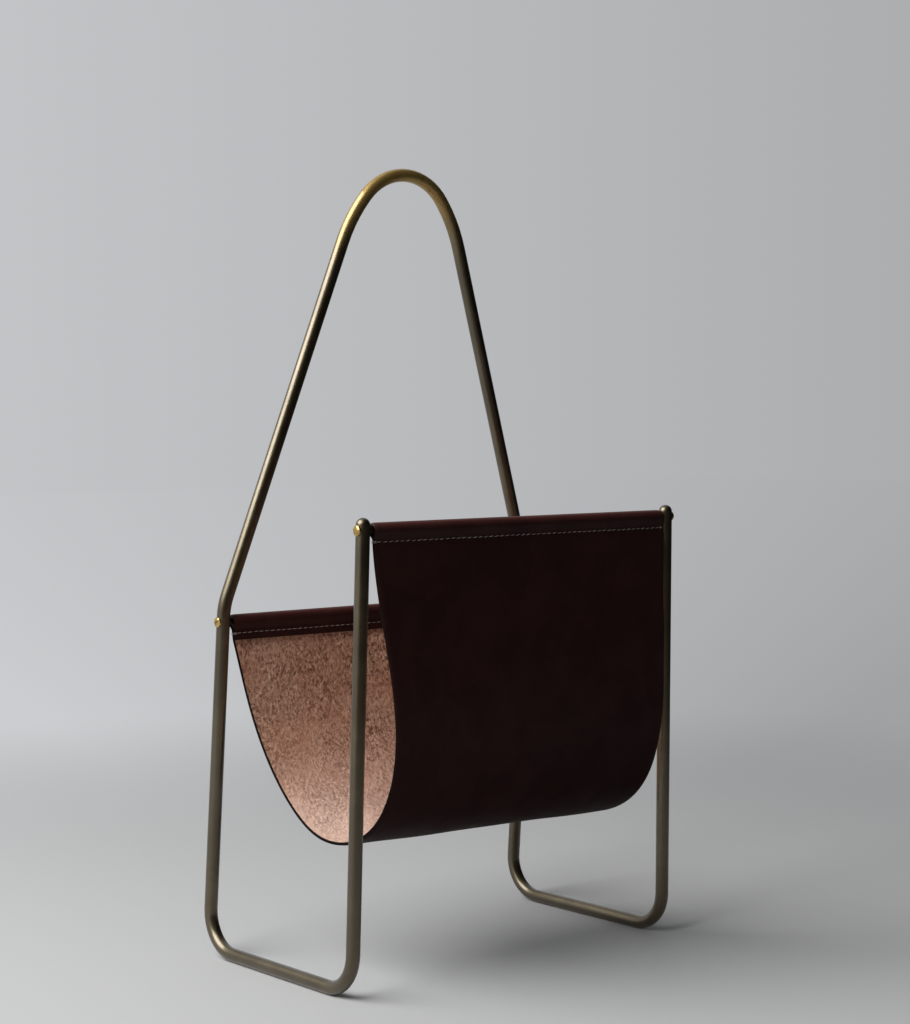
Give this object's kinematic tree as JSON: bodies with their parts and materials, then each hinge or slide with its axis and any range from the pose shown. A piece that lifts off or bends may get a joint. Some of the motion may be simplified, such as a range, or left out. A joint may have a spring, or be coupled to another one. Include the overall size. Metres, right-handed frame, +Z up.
{
  "type": "magazine rack",
  "caption": "Free-standing magazine rack: a bent round-tube frame with a tall carrying handle, and a leather sling hung between cross rods that holds magazines upright.",
  "frame": {"origin": "On the floor, midway between the four corners of the base, which is the point of the floor_rest mount.", "axes": "+Z is up, away from the floor. +Y points to the back, where the handle rises. +X is the right-hand side of someone facing the low front of the sling."},
  "size_m": [0.3736, 0.2472, 0.7089],
  "materials": {
    "patinated_brass": "satin, darkened with age",
    "polished_brass": "polished",
    "saddle_leather": "waxed dark brown grain outside, tan suede inside",
    "waxed_thread": "waxed linen"
  },
  "bodies": {
    "root": {"frame_tube": "patinated_brass", "front_left_end_plug": "patinated_brass", "front_right_end_plug": "patinated_brass", "front_rod": "patinated_brass", "rear_rod": "patinated_brass", "front_left_screw": "polished_brass", "front_right_screw": "polished_brass", "rear_left_screw": "polished_brass", "rear_right_screw": "polished_brass", "leather_sling": "saddle_leather", "front_seam_thread": "waxed_thread", "rear_seam_thread": "waxed_thread"}
  },
  "joints": []
}
